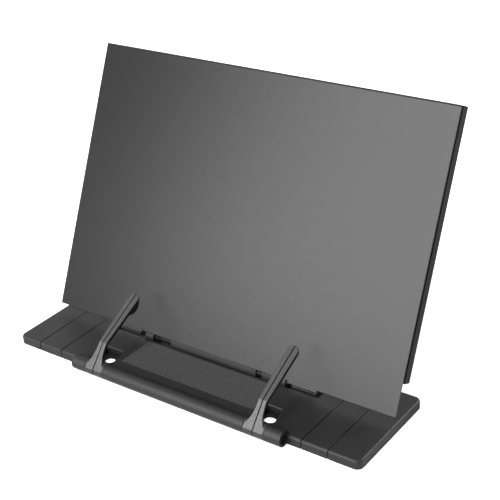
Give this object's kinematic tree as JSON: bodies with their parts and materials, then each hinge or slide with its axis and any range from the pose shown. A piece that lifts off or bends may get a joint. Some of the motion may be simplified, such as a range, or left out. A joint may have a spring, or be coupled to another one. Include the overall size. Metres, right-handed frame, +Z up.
{
  "type": "tabletop music stand",
  "caption": "Tabletop music stand with a tilting metal panel, a weighted base with a ribbed mat and sprung page levers on a front bar.",
  "frame": {"origin": "middle of the base's footprint on the desk, on the centre foot's face", "axes": "+X to the user's right, +Y away from the user, +Z up"},
  "size_m": [0.3416, 0.1708, 0.2284],
  "materials": {
    "cover_abs": "fine-textured charcoal moulding",
    "plate_abs": "plain black moulding",
    "ballast_steel": "bare rolled steel",
    "foot_rubber": "matt black rubber",
    "screw_steel": "black-plated steel",
    "mat_rubber": "ribbed matt rubber",
    "shaft_steel": "ground steel",
    "spring_steel": "drawn spring wire",
    "blued_steel": "blued steel",
    "plug_abs": "plain black moulding",
    "lever_metal": "fine grey texture",
    "pad_rubber": "soft black rubber",
    "knuckle_abs": "fine-textured charcoal moulding",
    "hinge_metal": "black anodised die casting",
    "backing_abs": "fine-textured black moulding",
    "sheet_metal": "satin charcoal powder coat on aluminium"
  },
  "bodies": {
    "base": {"base_cover": "cover_abs", "base_plate": "plate_abs", "ballast_plate": "ballast_steel", "rubber_feet": "foot_rubber", "base_screws": "screw_steel", "grip_mat": "mat_rubber", "left_arm_shaft": "shaft_steel", "right_arm_shaft": "shaft_steel", "left_shaft_plug": "plug_abs", "right_shaft_plug": "plug_abs", "left_outer_spring": "spring_steel", "left_inner_spring": "spring_steel", "right_inner_spring": "spring_steel", "right_outer_spring": "spring_steel", "hub_washers": "screw_steel", "left_knuckle": "knuckle_abs", "right_knuckle": "knuckle_abs", "knuckle_screws": "screw_steel", "hinge_pin": "blued_steel", "hinge_spring": "blued_steel", "spring_washers": "blued_steel", "friction_block": "hinge_metal"},
    "panel": {"hinge_bracket": "hinge_metal", "bracket_screws": "screw_steel", "backing_shell": "backing_abs", "face_sheet": "sheet_metal"},
    "left_outer_arm": {"left_outer_lever": "lever_metal"},
    "left_inner_arm": {"left_inner_lever": "lever_metal", "left_lever_pad": "pad_rubber"},
    "right_inner_arm": {"right_inner_lever": "lever_metal", "right_lever_pad": "pad_rubber"},
    "right_outer_arm": {"right_outer_lever": "lever_metal"}
  },
  "joints": [
    {"name": "panel_tilt", "type": "hinge", "parent": "base", "child": "panel", "pos_m": [0, 0.00985, 0.01], "axis": [-1, 0, 0], "range_deg": [0, 53.5]},
    {"name": "left_outer_arm_swing", "type": "hinge", "parent": "base", "child": "left_outer_arm", "pos_m": [-0.0812, -0.05075, 0.0071], "axis": [1, 0, 0], "range_deg": [0, 100], "stiffness_Nm_per_rad": 0.02, "springref_deg": -34.38},
    {"name": "left_inner_arm_swing", "type": "hinge", "parent": "base", "child": "left_inner_arm", "pos_m": [-0.0721, -0.05075, 0.0071], "axis": [1, 0, 0], "range_deg": [0, 100], "stiffness_Nm_per_rad": 0.02, "springref_deg": -34.38},
    {"name": "right_inner_arm_swing", "type": "hinge", "parent": "base", "child": "right_inner_arm", "pos_m": [0.0788, -0.05075, 0.0071], "axis": [1, 0, 0], "range_deg": [0, 100], "stiffness_Nm_per_rad": 0.02, "springref_deg": -34.38},
    {"name": "right_outer_arm_swing", "type": "hinge", "parent": "base", "child": "right_outer_arm", "pos_m": [0.0883, -0.05075, 0.0071], "axis": [1, 0, 0], "range_deg": [0, 100], "stiffness_Nm_per_rad": 0.02, "springref_deg": -34.38}
  ]
}
